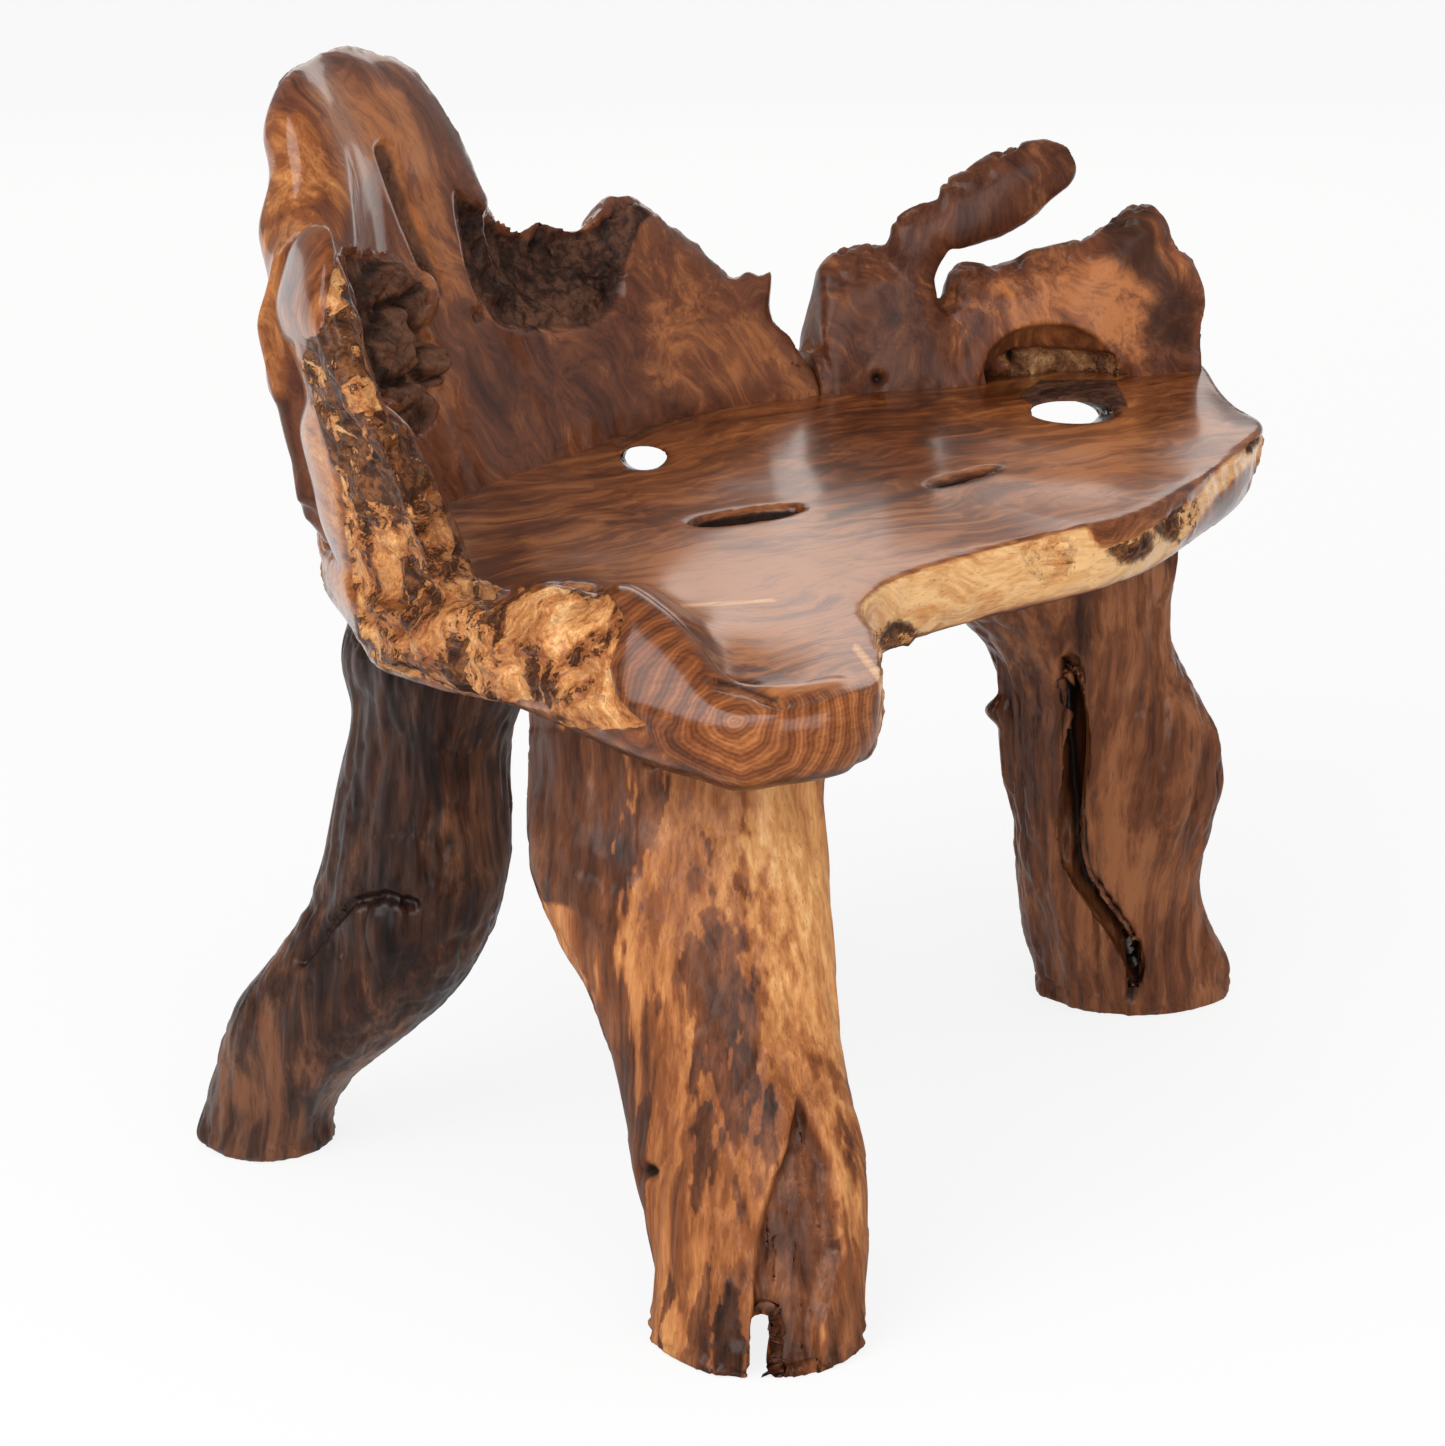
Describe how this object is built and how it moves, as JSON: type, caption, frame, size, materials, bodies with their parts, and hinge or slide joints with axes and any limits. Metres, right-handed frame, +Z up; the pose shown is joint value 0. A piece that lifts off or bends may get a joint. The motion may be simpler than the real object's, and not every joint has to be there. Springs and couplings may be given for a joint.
{
  "type": "teak bench",
  "caption": "Rustic bench carved from teak root, with a thick live-edge seat, a raised arm and root back walls, standing on four root legs.",
  "frame": {"origin": "on the floor, below the middle of the bench's bounding box", "axes": "+Z up, +X to the sitter's left along the seat, the sitter faces -Y"},
  "size_m": [1.009, 0.7342, 0.7686],
  "materials": {
    "polished_root": "glossy lacquer",
    "seat_wood": "glossy lacquer",
    "golden_leg": "satin lacquer",
    "brown_leg": "satin lacquer",
    "dark_leg": "satin lacquer",
    "peg_wood": "turned, raw",
    "screw_steel": "zinc plated"
  },
  "bodies": {
    "root": {"seat_slab": "seat_wood", "back_root_left": "polished_root", "back_root_right": "polished_root", "leg_front_left": "golden_leg", "leg_front_right": "brown_leg", "leg_rear_left": "dark_leg", "leg_rear_right": "brown_leg", "dowels_front_left": "peg_wood", "dowels_front_right": "peg_wood", "dowels_rear_left": "peg_wood", "dowels_rear_right": "peg_wood", "dowels_back_left": "peg_wood", "dowels_back_right": "peg_wood", "screw_front_left": "screw_steel", "screw_front_right": "screw_steel", "screw_rear_left": "screw_steel", "screw_rear_right": "screw_steel", "screws_back_left": "screw_steel", "screws_back_right": "screw_steel"}
  },
  "joints": []
}
